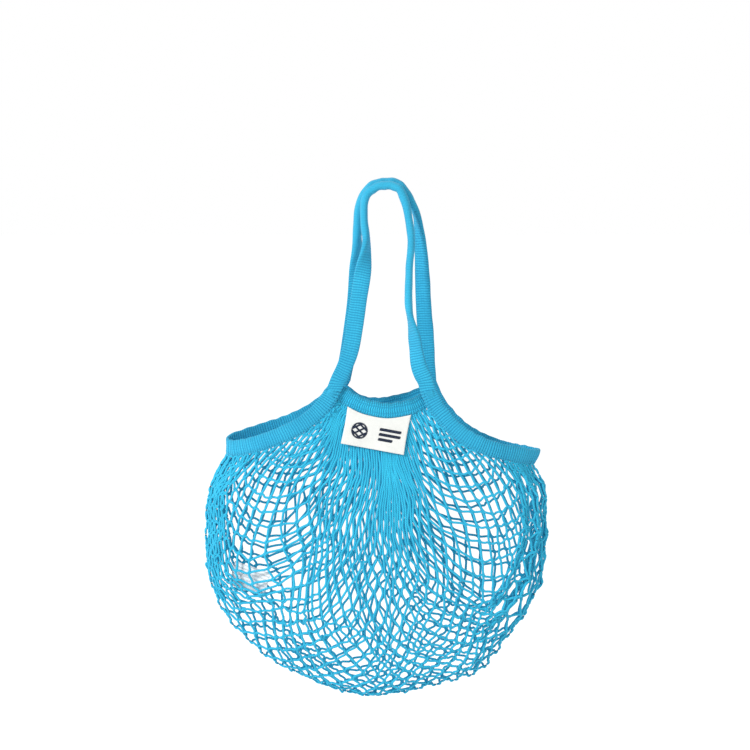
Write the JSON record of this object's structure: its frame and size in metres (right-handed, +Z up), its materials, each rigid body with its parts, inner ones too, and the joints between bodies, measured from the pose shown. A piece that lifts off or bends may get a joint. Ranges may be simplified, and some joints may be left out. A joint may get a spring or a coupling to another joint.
{
  "type": "mesh produce bag",
  "caption": "Hanging string bag: a knotted cotton net gathered into ribbed tape, with long folding handles and a lifting woven patch.",
  "frame": {"origin": "the point of the hook that the bag hangs on, just under the top of both handles", "axes": "+Z up, -Y out of the front with the woven patch, +X to the right seen from the front"},
  "size_m": [0.3765, 0.0822, 0.5785],
  "materials": {
    "net_cotton": "matte twisted cotton cord",
    "ribbed_tape": "matte knitted rib tape",
    "patch_cloth": "matte woven cotton",
    "navy_thread": "soft sheen embroidery thread",
    "label_satin": "satin ribbon",
    "sewing_thread": "soft sheen sewing thread"
  },
  "bodies": {
    "bag": {"net_body": "net_cotton", "front_centre_binding": "ribbed_tape", "back_centre_binding": "ribbed_tape", "left_rim_binding": "ribbed_tape", "right_rim_binding": "ribbed_tape", "left_rim_thread": "sewing_thread", "right_rim_thread": "sewing_thread", "front_binding_thread": "sewing_thread", "back_binding_thread": "sewing_thread", "tack_front_left": "sewing_thread", "tack_front_right": "sewing_thread", "tack_back_left": "sewing_thread", "tack_back_right": "sewing_thread", "tape_join_stitch": "sewing_thread", "care_label": "label_satin", "care_label_stitch": "sewing_thread"},
    "front_handle": {"front_handle": "ribbed_tape"},
    "back_handle": {"back_handle": "ribbed_tape"},
    "patch": {"woven_patch": "patch_cloth", "patch_emblem": "navy_thread", "patch_bars": "navy_thread"}
  },
  "joints": [
    {"name": "front_handle_fold", "type": "hinge", "parent": "bag", "child": "front_handle", "pos_m": [0, -0.0293, -0.215], "axis": [1, 0, 0], "range_deg": [0, 150]},
    {"name": "back_handle_fold", "type": "hinge", "parent": "bag", "child": "back_handle", "pos_m": [0, 0.0293, -0.215], "axis": [-1, 0, 0], "range_deg": [0, 150]},
    {"name": "patch_lift", "type": "hinge", "parent": "bag", "child": "patch", "pos_m": [-0.0095, -0.0286, -0.2413], "axis": [-0.9833, 0, 0.1822], "range_deg": [0, 35]}
  ]
}
